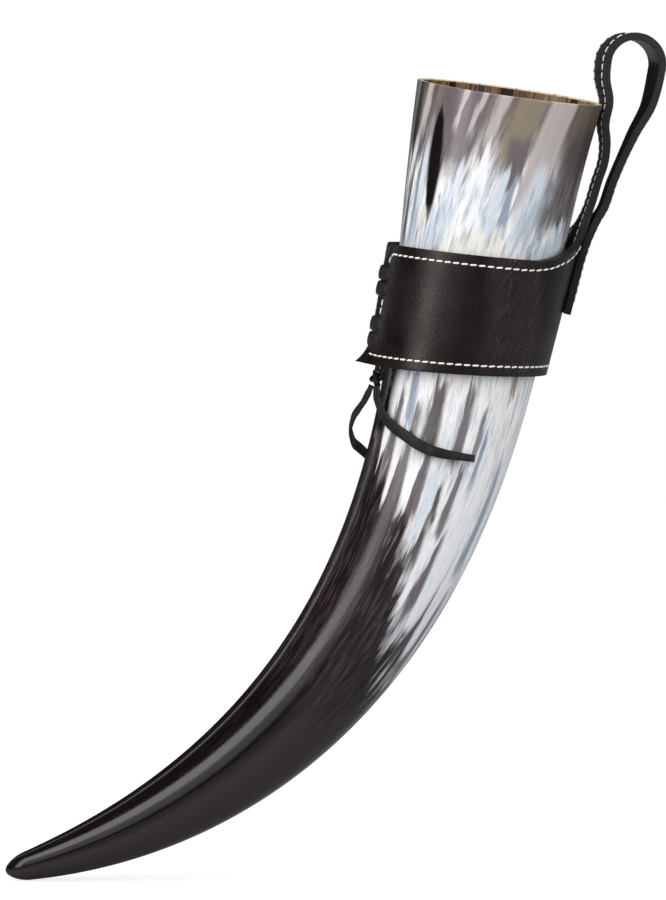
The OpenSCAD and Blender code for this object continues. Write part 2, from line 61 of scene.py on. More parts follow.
# Camera: a long lens, a little above the middle of the object
VIEW_TARGET = Vector((-120.57, -8.45, -156.3))
VIEW_RISE = 3.5
VIEW_DISTANCE = 2000
LENS = 197
SENSOR = 36

# Horn
HORN_LEN = 408
HORN_LEANS = (13.6, -7.8, 50, 77)
HORN_RADII = (37.6, 26.7, 27.4, 4.4)
TIP_ROUND = 9
RIM_SLANT = 5.7
RIM_DIP = 3.7
RIM_FADE = 0.08
RIM_WALL = 2.2
RIM_EDGE = 0.45
WALL_GAIN = 3
HOLLOW_LEN = 296
HOLLOW_BLUNT = 5

# Band of the frog
BAND_DOWN = 89.9
BAND_H = 48
BAND_SHIFT = 1
BAND_TIP = 2.2
BAND_GAP = 2.45
BAND_FLARE = 2.3
TOP_SLOPE = 6.4
BOTTOM_SLOPE = 8.5
FROG_TURN = 11
LEATHER_T = 2.2
LINING_T = 0.8
TOTAL_T = LEATHER_T + LINING_T
SEAM_GAP = 2.4
CORNER_R = 8
BACK_CORNER_R = 13
CORNER_FLARE = 6

# Strap of the frog
STRAP_W = 24
SWEEP_W = 34
SWEEP_H = 22
LEG_BOW = 6.2
BOW_UP = 70
RIM_GAP = 0.5
LOOP_R = 11.4
LOOP_OUT = 8.6
LOOP_UP = 111
JOIN_UP = 51
JOIN_GAP = 0.5
SLIT_GAP = 3.2
BOW_TWIST = 10.5
LOOP_TWIST = 4
FLAT_BY = 18
STRAP_END = 7

# Lace
BUMP_W = 6
LACE_T = 1.2
INNER_W = 4.4
HOLE_REACH = 10
UPPER_PAIR = 4.8
LOWER_PAIR = -16
PAIR_PITCH = 6.4
TAIL_W = 4.6
TAIL_T = 1.4
KNOT_SCALE = 1.1
KNOT_THREAD = 0.85
TAIL_FRONT = [
    (-103, -23.5, -129.5), (-103, -24, -132), (-103, -24, -134), (-102, -25, -137), (-101, -26, -140),
    (-99, -28, -143), (-96, -31, -146), (-93, -34, -148), (-90, -36, -150), (-87, -38, -152),
    (-83, -39, -154), (-80, -40, -155), (-76, -40, -156), (-73, -40, -156.5), (-70, -39, -157),
    (-67, -38, -157.5), (-64, -37, -158),
]
TAIL_BACK = [
    (-105, -17, -129.5), (-106, -17, -132), (-107, -16, -134), (-108, -15, -136), (-110, -14, -139),
    (-112, -12, -142), (-113, -9, -145), (-113.5, -6, -148), (-113, -2, -151), (-112, 2, -154),
    (-110, 5, -156), (-108, 9, -158), (-106, 12, -160), (-103, 15, -161), (-99, 18, -162),
    (-95.5, 20, -162.5), (-92, 21.5, -163),
]
# The flat sides of the free ends face away from here
TAIL_MIDDLE = Vector((-74, -8.5, -145))


def sin_d(a):
    return math.sin(math.radians(a))


def cos_d(a):
    return math.cos(math.radians(a))


def tan_d(a):
    return math.tan(math.radians(a))


def rotation(degrees, axis):
    return Matrix.Rotation(math.radians(degrees), 4, axis)


def ease(x):
    t = max(0.0, min(1.0, x))
    return t * t * (3 - 2 * t)


def bezier(c, t):
    return c[0] * (1 - t) ** 3 + 3 * c[1] * t * (1 - t) ** 2 + 3 * c[2] * t * t * (1 - t) + c[3] * t ** 3


# Horn shape, in its own frame with the middle of the mouth at the origin
PATH_STEPS = 160
TIP_FROM = 1 - TIP_ROUND / HORN_LEN
HOLLOW_END = HOLLOW_LEN / HORN_LEN


def horn_down(t):
    lean = bezier(HORN_LEANS, t)
    return Vector((-sin_d(lean), 0, -cos_d(lean)))


def horn_out(t):
    lean = bezier(HORN_LEANS, t)
    return Vector((cos_d(lean), 0, -sin_d(lean)))


def horn_path():
    points = [Vector((0, 0, 0))]
    for i in range(PATH_STEPS + 1):
        points.append(points[-1] + HORN_LEN / PATH_STEPS * horn_down((i + 0.5) / PATH_STEPS))
    return points


HORN_PATH = horn_path()


def horn_pt(t):
    x = t * PATH_STEPS
    i = min(int(x), PATH_STEPS)
    return HORN_PATH[i].lerp(HORN_PATH[i + 1], x - i)


def horn_r(t):
    share = max(0.0, (t - TIP_FROM) / (1 - TIP_FROM))
    return bezier(HORN_RADII, t) * math.sqrt(max(0.0, 1 - share * share))


def hollow_r(t):
    wall = RIM_WALL + WALL_GAIN * t / HOLLOW_END
    return (bezier(HORN_RADII, t) - wall) * math.sqrt(max(0.0, 1 - (t / HOLLOW_END) ** HOLLOW_BLUNT))


def horn_skin(t, r, a):
    fade = max(0.0, 1 - t / RIM_FADE) ** 2
    rise = fade * r * (tan_d(RIM_SLANT) * cos_d(a) + tan_d(RIM_DIP) * sin_d(a))
    return horn_pt(t) + r * (cos_d(a) * horn_out(t) + sin_d(a) * Vector((0, 1, 0))) - rise * horn_down(t)


# Frog shape, in the band's frame: x out to the strap, y to the back, z up the band's axis
BAND_T = BAND_DOWN / HORN_LEN
BAND_LEAN = bezier(HORN_LEANS, BAND_T) + BAND_TIP
BAND_AT = horn_pt(BAND_T) - BAND_SHIFT * horn_out(BAND_T)
BORE_R = horn_r(BAND_T) + BAND_GAP
FROG_IN_HORN = Matrix.Translation(BAND_AT) @ rotation(BAND_LEAN, "Y") @ rotation(FROG_TURN, "Z")
RIM_AT = FROG_IN_HORN.inverted() @ horn_skin(0, HORN_RADII[0], FROG_TURN)
LOOP_U = RIM_AT.x + LOOP_OUT
HORN_TO_PART = Matrix.Translation(-(FROG_IN_HORN @ Vector((LOOP_U, 0, LOOP_UP))))
FROG_TO_PART = HORN_TO_PART @ FROG_IN_HORN


def wall_r(h):
    return BORE_R + TOTAL_T / 2 + tan_d(BAND_FLARE) * h


def arc_deg(length):
    return math.degrees(length / wall_r(0))


def wall_pt(a, h, d):
    r = wall_r(h) + d
    return Vector((r * cos_d(a), r * sin_d(a), h))


FLAP_END = 180 - arc_deg(SEAM_GAP / 2)


def edge_top(a):
    corner = BACK_CORNER_R if a > 0 else CORNER_R
    e = max(0.0, corner - (FLAP_END - abs(a)) / arc_deg(1))
    drop = corner - math.sqrt(max(0.0, corner ** 2 - e * e))
    return BAND_H / 2 + tan_d(TOP_SLOPE) * wall_r(0) * cos_d(a) - drop


def edge_bottom(a):
    return -BAND_H / 2 + tan_d(BOTTOM_SLOPE) * wall_r(0) * cos_d(a)


ROOT_H = edge_top(0)
ROOT_U = wall_r(ROOT_H)
BOW_U = RIM_AT.x + LEG_BOW
RIM_U = RIM_AT.x + RIM_GAP + TOTAL_T / 2
INNER_KNOTS = [
    (ROOT_H - 12, wall_r(ROOT_H - 12)), (ROOT_H, ROOT_U), (ROOT_H + 12, ROOT_U + 1.3),
    (JOIN_UP + 1, ROOT_U + 3.4), (BOW_UP - 8, BOW_U - 0.9), (BOW_UP, BOW_U), (BOW_UP + 8, BOW_U - 1),
    (BOW_UP + 15, BOW_U - 3.4), (RIM_AT.z + 1.5, RIM_U), (RIM_AT.z + 10, LOOP_U - LOOP_R + 1.2),
    (LOOP_UP, LOOP_U - LOOP_R), (LOOP_UP + 10, LOOP_U - LOOP_R),
]


def slope_at(k, i):
    return (k[i + 1][1] - k[i - 1][1]) / (k[i + 1][0] - k[i - 1][0])


def smooth_u(k, h):
    """Place out from the band's axis at height h, on a smooth curve through the knots k."""
    i = 1
    while i + 2 < len(k) - 1 and h >= k[i + 1][0]:
        i += 1
    w = k[i + 1][0] - k[i][0]
    low = k[i][1]
    high = k[i + 1][1]
    curve = (low, low + slope_at(k, i) * w / 3, high - slope_at(k, i + 1) * w / 3, high)
    return bezier(curve, (h - k[i][0]) / w)


def inner_u(h):
    return wall_r(h) if h < ROOT_H else smooth_u(INNER_KNOTS, h)


JOIN_FROM = JOIN_UP - 13
OUTER_KNOTS = [
    (JOIN_FROM - 7, inner_u(JOIN_FROM - 7) + TOTAL_T + JOIN_GAP),
    (JOIN_FROM, inner_u(JOIN_FROM) + TOTAL_T + JOIN_GAP),
    (JOIN_UP - 6, inner_u(JOIN_UP - 6) + TOTAL_T + 0.35 * SLIT_GAP),
    (JOIN_UP + 1, inner_u(JOIN_UP + 1) + TOTAL_T + 0.8 * SLIT_GAP),
    (BOW_UP - 6, BOW_U + TOTAL_T + SLIT_GAP - 0.8), (BOW_UP + 14, LOOP_U + LOOP_R - 4),
    (LOOP_UP - 16, LOOP_U + LOOP_R - 0.6), (LOOP_UP - 8, LOOP_U + LOOP_R + 0.1),
    (LOOP_UP, LOOP_U + LOOP_R), (LOOP_UP + 10, LOOP_U + LOOP_R),
]


def outer_u(h):
    return inner_u(h) + TOTAL_T + JOIN_GAP if h < JOIN_FROM else smooth_u(OUTER_KNOTS, h)


def cross_bend(h):
    return (1 - ease((h - ROOT_H) / FLAT_BY)) * 180 / math.pi / ROOT_U


def sweep_at(y, h):
    """Height of row h at y across: the sweep starts from the band's own edge."""
    return h - (ROOT_H - edge_top(arc_deg(y))) * (1 - ease((h - ROOT_H) / SWEEP_H))


def strap_twist(h):
    into_bow = BOW_TWIST * ease((h - ROOT_H) / (JOIN_UP - ROOT_H))
    return into_bow - (BOW_TWIST - LOOP_TWIST) * ease((h - BOW_UP) / (LOOP_UP - BOW_UP))


# Rows of the strap: place in the u-h plane, half width, bend of the section in degrees per mm
LEG_STEP = 1.6
TURN_STEP = 5
STRAIGHT = 0.001


def strap_rows():
    rows = []
    for s in range(TURN_STEP, 90, TURN_STEP):
        h = ROOT_H + SWEEP_H * (1 - cos_d(s))
        rows.append((inner_u(h), h, STRAP_W / 2 + SWEEP_W * (1 - sin_d(s)), cross_bend(h)))
    low = ROOT_H + SWEEP_H
    legs = math.ceil((LOOP_UP - low) / LEG_STEP)
    for i in range(legs):
        h = low + (LOOP_UP - low) * i / legs
        rows.append((inner_u(h), h, STRAP_W / 2, cross_bend(h)))
    for s in range(180, 0, -TURN_STEP):
        rows.append((LOOP_U + LOOP_R * cos_d(s), LOOP_UP + LOOP_R * sin_d(s), STRAP_W / 2, 0))
    legs = math.ceil((LOOP_UP - STRAP_END) / LEG_STEP)
    for i in range(legs + 1):
        h = LOOP_UP - (LOOP_UP - STRAP_END) * i / legs
        rows.append((outer_u(h), h, STRAP_W / 2, -cross_bend(h)))
    return rows


STRAP_ROWS = strap_rows()


def strap_pt(k, y, d):
    """Point of row k, y across the strap and d out from the middle of its thickness."""
    u, h, _, bend = STRAP_ROWS[k]
    before = (ROOT_U, ROOT_H) if k == 0 else STRAP_ROWS[k - 1]
    after = STRAP_ROWS[min(k + 1, len(STRAP_ROWS) - 1)]
    run = Vector((after[0] - before[0], after[1] - before[1])).normalized()
    flat = abs(bend) < STRAIGHT
    turn = bend * y
    sag = 0 if flat else (1 - cos_d(turn)) / bend * 180 / math.pi
    side = y if flat else sin_d(turn) / bend * 180 / math.pi
    off = d * cos_d(turn)
    shift = run.y * off - math.copysign(sag, sag * run.y)
    side += d * sin_d(turn)
    twist = strap_twist(h)
    out = u + shift * cos_d(twist) + side * sin_d(twist)
    back = side * cos_d(twist) - shift * sin_d(twist)
    return Vector((out, back, sweep_at(y, h - run.x * off)))


# Mesh building
def new_object(name, mesh, body, slot, node, *materials):
    """Smooth piece that rides on a body and stands for a node of the part."""
    obj = bpy.data.objects.new(name, mesh)
    bpy.context.scene.collection.objects.link(obj)
    for material in materials:
        mesh.materials.append(material)
    for polygon in mesh.polygons:
        polygon.use_smooth = True
    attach(obj, body)
    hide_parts(node)
    return obj


def mesh_from(name, points, faces, matrix=Matrix.Identity(4)):
    mesh = bpy.data.meshes.new(name)
    mesh.from_pydata([(matrix @ Vector(p)) * MM for p in points], [], faces)
    mesh.update()
    return mesh


def ring_faces(rings, sides, closed=False):
    """Quads between rings of points, with flat ends unless the rings close on themselves."""
    faces = []
    for i in range(rings if closed else rings - 1):
        for j in range(sides):
            k = (j + 1) % sides
            n = (i + 1) % rings
            faces.append((i * sides + j, i * sides + k, n * sides + k, n * sides + j))
    if not closed:
        faces.append(tuple(reversed(range(sides))))
        faces.append(tuple(range((rings - 1) * sides, rings * sides)))
    return faces


def smooth_path(points, steps):
    """Points of a smooth curve through the given ones."""
    p = [Vector(q) for q in points]
    p = [2 * p[0] - p[1]] + p + [2 * p[-1] - p[-2]]
    out = []
    for i in range(1, len(p) - 2):
        for s in range(steps):
            t = s / steps
            run = (p[i + 1] - p[i - 1]) / 2
            next_run = (p[i + 2] - p[i]) / 2
            ends = (p[i], p[i] + run / 3, p[i + 1] - next_run / 3, p[i + 1])
            out.append(bezier(ends, t))
    out.append(p[-2])
    return out


def tape_rings(path, face, width, thick, sides, square):
    """Rings of a flat tape along a path: face(i) is the way its flat side looks, square rounds it less."""
    n = len(path)
    points = []
    for i, p in enumerate(path):
        run = (path[min(i + 1, n - 1)] - path[max(i - 1, 0)]).normalized()
        f = face(i)
        y = (f - run * f.dot(run)).normalized()
        x = y.cross(run)
        for j in range(sides):
            c = cos_d(360 * j / sides)
            s = sin_d(360 * j / sides)
            across = math.copysign(abs(c) ** square, c) * width(i / (n - 1)) / 2
            up = math.copysign(abs(s) ** square, s) * thick(i / (n - 1)) / 2
            points.append(p + x * across + y * up)
    return points


# Materials
def linear(rgb):
    """A colour given as 0 to 255 screen values, as the shader wants it."""
    def one(v):
        v /= 255
        return v / 12.92 if v <= 0.04045 else ((v + 0.055) / 1.055) ** 2.4
    return tuple(one(v) for v in rgb) + (1.0,)


class Nodes:
    """Short calls for the nodes of one tree. A value is a number or another node's socket."""

    def __init__(self, tree):
        self.tree = tree

    def add(self, kind, **settings):
        node = self.tree.nodes.new(kind)
        for key, value in settings.items():
            setattr(node, key, value)
        return node

    def put(self, value, socket):
        if isinstance(value, bpy.types.NodeSocket):
            self.tree.links.new(value, socket)
        else:
            socket.default_value = value

    def math(self, operation, a, b=0.0):
        node = self.add("ShaderNodeMath", operation=operation)
        self.put(a, node.inputs[0])
        self.put(b, node.inputs[1])
        return node.outputs[0]

    def times(self, a, b):
        return self.math("MULTIPLY", a, b)

    def plus(self, a, b):
        return self.math("ADD", a, b)

    def step(self, value, low, high, to_low=0.0, to_high=1.0):
        """Smooth step from to_low at low to to_high at high."""
        node = self.add("ShaderNodeMapRange", interpolation_type="SMOOTHSTEP")
        for socket, v in zip(node.inputs, (value, low, high, to_low, to_high)):
            self.put(v, socket)
        return node.outputs[0]

    def window(self, value, rise, fall, full=1.0):
        """Share that grows to full over the stretch rise and goes back over the stretch fall."""
        return self.times(self.step(value, *rise), self.step(value, *fall, full, 0.0))


class Shader(Nodes):
    """A material under construction. Colours of ramps and mixes are screen values or sockets."""

    def __init__(self, name):
        self.material = bpy.data.materials.new(name)
        self.material.use_nodes = True
        super().__init__(self.material.node_tree)
        self.bsdf = self.tree.nodes["Principled BSDF"]

    def set(self, **values):
        for key, value in values.items():
            self.put(value, self.bsdf.inputs[key.replace("_", " ")])

    def mix(self, share, a, b):
        node = self.add("ShaderNodeMix", data_type="RGBA")
        self.put(share, node.inputs[0])
        for colour, socket in ((a, node.inputs[6]), (b, node.inputs[7])):
            self.put(linear(colour) if isinstance(colour, tuple) else colour, socket)
        return node.outputs[2]

    def ramp(self, share, *stops):
        node = self.add("ShaderNodeValToRGB")
        elements = node.color_ramp.elements
        while len(elements) < len(stops):
            elements.new(0.5)
        for element, (place, colour) in zip(elements, stops):
            element.position = place
            element.color = linear(colour)
        self.put(share, node.inputs[0])
        return node.outputs[0]

    def noise(self, where, scale, detail=3.0, roughness=0.5, distortion=0.0):
        node = self.add("ShaderNodeTexNoise")
        node.inputs["Scale"].default_value = scale
        node.inputs["Detail"].default_value = detail
        node.inputs["Roughness"].default_value = roughness
        node.inputs["Distortion"].default_value = distortion
        self.put(where, node.inputs["Vector"])
        return node.outputs[0]

    def voronoi(self, where, scale):
        node = self.add("ShaderNodeTexVoronoi")
        node.inputs["Scale"].default_value = scale
        self.put(where, node.inputs["Vector"])
        return node.outputs[0]

    def stretch(self, where, scale, turn=(0, 0, 0)):
        node = self.add("ShaderNodeMapping")
        node.inputs["Scale"].default_value = scale
        node.inputs["Rotation"].default_value = [math.radians(v) for v in turn]
        self.put(where, node.inputs["Vector"])
        return node.outputs[0]

    def place(self):
        return self.add("ShaderNodeTexCoord").outputs["Object"]

    def attribute(self, name):
        return self.add("ShaderNodeAttribute", attribute_name=name).outputs["Vector"]

    def split(self, vector):
        node = self.add("ShaderNodeSeparateXYZ")
        self.put(vector, node.inputs[0])
        return node.outputs

    def dress(self, colour, rough, height, strength, depth):
        """Sets the colour, the roughness and a relief of the given depth, and gives the material."""
        bump = self.add("ShaderNodeBump")
        bump.inputs["Strength"].default_value = strength
        bump.inputs["Distance"].default_value = depth * MM
        self.put(height, bump.inputs["Height"])
        self.set(Base_Color=colour, Roughness=rough, Normal=bump.outputs[0])
        return self.material


# Colours of the horn
WHITE = (248, 248, 250)
SILVER = (216, 224, 232)
CREAM = (238, 236, 226)
BLUE_GREY = (140, 154, 174)
GREY = (120, 126, 126)
LILAC = (192, 183, 178)
TAN = (143, 131, 113)
MAUVE = (106, 97, 101)
BROWN = (100, 87, 77)
UMBER = (78, 68, 67)
SOOT = (44, 35, 36)
BLACK = (22, 15, 16)

# Streaks placed along the grain: top and bottom (mm down from the mouth), angle from the front at
# the middle (degrees, right is positive), half width at the top and at the bottom (degrees), colour.
MOUTH_STRIPES = [
    (-10, 36, -30, 18, 12, MAUVE),
    (-10, 20, -18, 2, 2, LILAC),
    (-10, 18, -29, 2, 2, LILAC),
    (-10, 24, -5, 4, 3, LILAC),
    (-10, 30, 11, 10, 8, TAN),
    (18, 42, 10, 8, 4, MAUVE),
    (-10, 26, 66, 20, 18, BROWN),
    (10, 52, 60, 12, 24, UMBER),
]
PALE_BAND = [(-10, 48, 31, 10, 9, LILAC)]
FLAMES = [
    (22, 65, -13, 1, 13, WHITE),
    (30, 65, -28, 1, 10, SILVER),
    (30, 62, 3, 1, 7, SILVER),
    (36, 56, 11, 1, 4, BLUE_GREY),
    (28, 62, 27, 4, 9, SILVER),
    (50, 66, 56, 6, 16, SILVER),
    (58, 72, -10, 20, 22, CREAM),
]
LEFT_STRIPES = [
    (30, 68, -58, 2, 8, SILVER),
    (-10, 60, -80, 3, 4, GREY),
    (-10, 30, -70, 5, 4, SOOT),
    (-10, 22, -59, 3, 3, LILAC),
    (50, 70, -42, 1, 7, SILVER),
    (14, 60, -58, 1, 2, GREY),
    (36, 70, -72, 2, 4, UMBER),
    (44, 70, -62, 1, 3, BLUE_GREY),
]
UNDER_BAND = [
    (118, 150, -13, 4, 9, UMBER),
    (120, 152, 11, 2, 5, MAUVE),
    (120, 140, -34, 3, 4, BLUE_GREY),
    (111, 121, 47, 3, 3, TAN),
    (148, 190, 60, 3, 5, BLUE_GREY),
    (126, 148, 26, 1, 3, GREY),
    (136, 166, 33, 1, 3, BLUE_GREY),
    (150, 178, 20, 1, 4, MAUVE),
    (166, 192, 46, 1, 3, BLUE_GREY),
]
MARKS = [
    (112, 150, -80, 28, 20, BLACK),
    (160, 214, 38, 13, 6, WHITE),
]
SPINDLE = [(9, 57, -45, 0.3, 0.3, BLACK)]
SPINDLE_BELLY = 5.6

# Tongues of dark and white that reach into each other all round, lower on the right than on the left.
# Half widths at the point and at the root are in degrees.
TONGUE_STEP = 9
TONGUE_TOP = 158
TONGUE_LEAN = 40
TONGUE_SHIFT = 8
TONGUE_LENGTH = (28, 46)
TONGUE_POINT = (1, 3)
TONGUE_ROOT = (5, 9)
TONGUE_SEED = 11
FRONT_TO = 80

# Turn of the grain: degrees round the horn for each mm along it, down to this far from the mouth
GRAIN_TURN = 0.25
GRAIN_TURN_TO = 100

# Zones along the horn, each from where it starts to where it is full (mm down from the mouth)
RAGGED_ZONE = (15, 60)
MOUTH_END = (18, 40)
FIBRE_ZONE = (20, 60)
SHADOW_START = (30, 46)
SHADOW_END = (60, 76)
WHITE_ZONE = (95, 125)
DARK_ZONE = (172, 200)
DARK_LEAN = 56
GLOSSY_ZONE = (190, 260)
TIP_ZONE = (236, 286)

# Sides of the charcoal front of the tip, a painted reflection (degrees from the front, right is positive)
CHARCOAL_REFLECTION_LEFT = (-7, 9)
CHARCOAL_REFLECTION_RIGHT = (48, 74)

# Share of a streak's length over which each end fades, and its least half width in degrees
TOP_FADE = (-0.16, 0.12)
BOTTOM_FADE = (0.84, 1.16)
THINNEST = 0.2


def tongues():
    draw = random.Random(TONGUE_SEED)
    rows = []
    for i, angle in enumerate(range(-180, 180, TONGUE_STEP)):
        top = TONGUE_TOP + TONGUE_LEAN * sin_d(angle) + draw.uniform(-TONGUE_SHIFT, TONGUE_SHIFT)
        bottom = top + draw.uniform(*TONGUE_LENGTH)
        point = draw.uniform(*TONGUE_POINT)
        root = draw.uniform(*TONGUE_ROOT)
        if i % 2:
            row = (top, bottom, angle, point, root, draw.choice((UMBER, SOOT, MAUVE)))
        else:
            row = (top, bottom, angle, root, point, draw.choice((WHITE, WHITE, SILVER)))
        # Behind, every second pair is left out
        if abs(angle) < FRONT_TO or i % 4 < 2:
            rows.append(row)
    return rows


def streak_group():
    """Node group that gives how much of a streak covers a place on the horn."""
    tree = bpy.data.node_groups.new("Streak", "ShaderNodeTree")
    for name in ("angle", "along", "top", "bottom", "middle", "half top", "half bottom", "soft", "belly"):
        tree.interface.new_socket(name, in_out="INPUT", socket_type="NodeSocketFloat")
    tree.interface.new_socket("cover", in_out="OUTPUT", socket_type="NodeSocketFloat")
    n = Nodes(tree)
    given = n.add("NodeGroupInput").outputs
    result = n.add("NodeGroupOutput")

    reach = n.math("SUBTRACT", given["bottom"], given["top"])
    share = n.math("DIVIDE", n.math("SUBTRACT", given["along"], given["top"]), reach)
    swell = n.times(n.times(share, n.math("SUBTRACT", 1.0, share)), 4.0)
    widening = n.math("SUBTRACT", given["half bottom"], given["half top"])
    half = n.plus(given["half top"], n.times(share, widening))
    half = n.plus(half, n.times(swell, given["belly"]))
    apart = n.math("ABSOLUTE", n.math("SUBTRACT", given["angle"], given["middle"]))
    away = n.math("MINIMUM", apart, n.math("SUBTRACT", 360.0, apart))
    edge = n.math("DIVIDE", away, n.math("MAXIMUM", half, THINNEST))
    inside = n.math("SUBTRACT", 1.0, given["soft"])
    outside = n.plus(1.0, given["soft"])
    side = n.step(edge, inside, outside, 1.0, 0.0)
    n.put(n.times(side, n.window(share, TOP_FADE, BOTTOM_FADE)), result.inputs[0])
    return tree


class HornShader(Shader):
    """The horn's material, with the places and fibres that its colours share."""

    def __init__(self):
        super().__init__("horn_polished")
        self.x, y, self.along = self.split(self.attribute("around"))
        angle = self.math("DEGREES", self.math("ARCTAN2", self.x, self.times(y, -1.0)))
        self.winding = self.times(self.math("MINIMUM", self.along, GRAIN_TURN_TO), GRAIN_TURN)
        wound = self.math("RADIANS", self.plus(angle, self.winding))
        grain = self.add("ShaderNodeCombineXYZ")
        places = (self.math("COSINE", wound), self.math("SINE", wound), self.along)
        for socket, value in zip(grain.inputs, places):
            self.put(value, socket)
        self.grain = grain.outputs[0]
        self.cloud = self.fibres(0.0062, 5, 4, 0.55, 0.5)
        self.coarse = self.fibres(0.0042, 9, 4, 0.55, 0.3)
        self.middling = self.fibres(0.0034, 21, 4, 0.55, 0.2)
        self.fine = self.fibres(0.0026, 52, 3, 0.6)
        self.hair = self.fibres(0.0018, 130, 2, 0.6)
        # Streaks wander a little and end raggedly
        wander = self.plus(angle, self.spread(self.coarse, 7))
        self.angle_here = self.plus(wander, self.spread(self.middling, 4))
        ragged = self.plus(self.spread(self.middling, 26), self.spread(self.fine, 5))
        ragged = self.times(ragged, self.step(self.along, *RAGGED_ZONE, 0.4, 1.0))
        self.along_here = self.plus(self.along, ragged)
        self.angle_near = self.plus(angle, self.spread(self.coarse, 3))
        self.along_near = self.plus(self.along, self.times(ragged, 0.25))

    def fibres(self, drawn_out, scale, detail, roughness, distortion=0.0):
        """Noise drawn out along the grain."""
        return self.noise(self.stretch(self.grain, (1, 1, drawn_out)), scale, detail, roughness, distortion)

    def spread(self, noise, reach):
        """Noise as a shift to both sides."""
        return self.times(self.math("SUBTRACT", noise, 0.5), reach)

    def body(self):
        """White body with blue-grey, mauve and cream clouds, brown at the mouth and dark below."""
        light = self.ramp(self.coarse, (0.34, (116, 125, 140)), (0.42, (188, 198, 209)),
                          (0.48, (251, 251, 250)), (0.58, (252, 250, 246)), (0.64, (206, 206, 214)),
                          (0.71, (128, 122, 132)))
        light = self.mix(self.step(self.cloud, 0.54, 0.66, 0, 0.7), light, (184, 193, 204))
        light = self.mix(self.step(self.cloud, 0.36, 0.46, 0.7, 0), light, (240, 234, 216))
        light = self.mix(self.step(self.middling, 0.55, 0.66, 0, 0.7), light, (140, 146, 162))
        light = self.mix(self.step(self.along, *WHITE_ZONE, 0, 0.5), light, (251, 251, 250))
        brown = self.ramp(self.coarse, (0.3, (86, 78, 80)), (0.48, (108, 98, 97)), (0.6, (122, 111, 103)),
                          (0.75, (150, 139, 130)))
        from_mouth = self.plus(self.along_here, self.spread(self.coarse, 60))
        colour = self.mix(self.step(from_mouth, *MOUTH_END), brown, light)
        # The border of the dark part runs lower on the right than on the left
        lean = self.times(self.x, DARK_LEAN)
        border = self.math("SUBTRACT", self.plus(self.along_here, self.spread(self.coarse, 130)), lean)
        dark = self.ramp(self.middling, (0.34, (20, 14, 15)), (0.5, (33, 25, 26)), (0.66, (66, 54, 55)))
        return self.mix(self.step(border, *DARK_ZONE), colour, dark)

    def streaks(self, colour):
        """All the streaks over the body, later ones on top."""
        group = streak_group()
        ragged = (self.plus(self.angle_here, self.winding), self.along_here)
        clean = (self.plus(self.angle_near, self.winding), self.along_near)
        upright = (self.angle_near, self.along_near)
        # Rows, place, turn of the grain there, how fully they cover, softness of the sides, belly
        layers = [
            (MOUTH_STRIPES, ragged, GRAIN_TURN, 0.92, 0.5, 0),
            (PALE_BAND, clean, GRAIN_TURN, 0.95, 0.18, 0),
            (FLAMES, ragged, GRAIN_TURN, 0.95, 0.45, 0),
            (LEFT_STRIPES, ragged, GRAIN_TURN, 0.92, 0.5, 0),
            (tongues(), ragged, GRAIN_TURN, 0.95, 0.4, 0),
            (UNDER_BAND, ragged, GRAIN_TURN, 0.93, 0.45, 0),
            (MARKS, clean, GRAIN_TURN, 0.98, 0.24, 0),
            (SPINDLE, upright, 0, 1.0, 0.3, SPINDLE_BELLY),
        ]
        for rows, where, turn, cover, soft, belly in layers:
            for top, bottom, middle, half_top, half_bottom, tint in rows:
                node = self.add("ShaderNodeGroup", node_tree=group)
                on_grain = middle + turn * min((top + bottom) / 2, GRAIN_TURN_TO)
                values = where + (top, bottom, on_grain, half_top, half_bottom, soft, belly)
                for socket, value in zip(node.inputs, values):
                    self.put(value, socket)
                colour = self.mix(self.times(node.outputs[0], cover), colour, tint)
        return colour

    def shadows(self, colour):
        """Blue-grey shadows between the flames, and fine fibres over all but the dark parts."""
        grey = self.add("ShaderNodeRGBToBW")
        self.put(colour, grey.inputs[0])
        bright = grey.outputs[0]
        between = self.fibres(0.0048, 13, 3, 0.5, 0.2)
        zone = self.window(self.along_here, SHADOW_START, SHADOW_END)
        zone = self.times(zone, self.step(bright, 0.2, 0.5))
        shadow = self.times(self.step(between, 0.46, 0.63, 0, 0.5), zone)
        colour = self.mix(shadow, colour, (136, 153, 168))
        amount = self.times(self.step(self.along, *FIBRE_ZONE, 0.3, 1.0), self.step(bright, 0.03, 0.4))
        dull = self.times(self.step(self.fine, 0.5, 0.66, 0, 0.24), amount)
        colour = self.mix(dull, colour, (112, 120, 136))
        pale = self.times(self.step(self.fine, 0.34, 0.48, 0.24, 0), amount)
        return self.mix(pale, colour, (248, 247, 246))

    def tip(self, colour):
        """Near black towards the tip, with a charcoal front that is a painted reflection."""
        cover = self.step(self.along_here, *TIP_ZONE)
        black = self.ramp(self.middling, (0.34, (12, 7, 8)), (0.55, (18, 12, 13)), (0.7, (36, 28, 30)))
        # Painted reflection: a charcoal band lighter than the black, on the front of the tip
        charcoal_reflection = self.window(self.angle_here, CHARCOAL_REFLECTION_LEFT, CHARCOAL_REFLECTION_RIGHT, 0.75)
        return self.mix(cover, colour, self.mix(charcoal_reflection, black, (54, 46, 49)))


def horn_material():
    """Polished horn: clouded fibres along its length, light above and dark below, with flames between."""
    m = HornShader()
    colour = m.tip(m.shadows(m.streaks(m.body())))
    rough = m.times(m.step(m.fine, 0.2, 0.8, 0.19, 0.28), m.step(m.along, *GLOSSY_ZONE, 1.0, 0.62))
    height = m.plus(m.times(m.fine, 0.5), m.times(m.hair, 0.6))
    m.set(Specular_IOR_Level=0.4, Coat_Weight=0.15, Coat_Roughness=0.1, IOR=1.5)
    return m.dress(colour, rough, height, 0.045, 0.2)


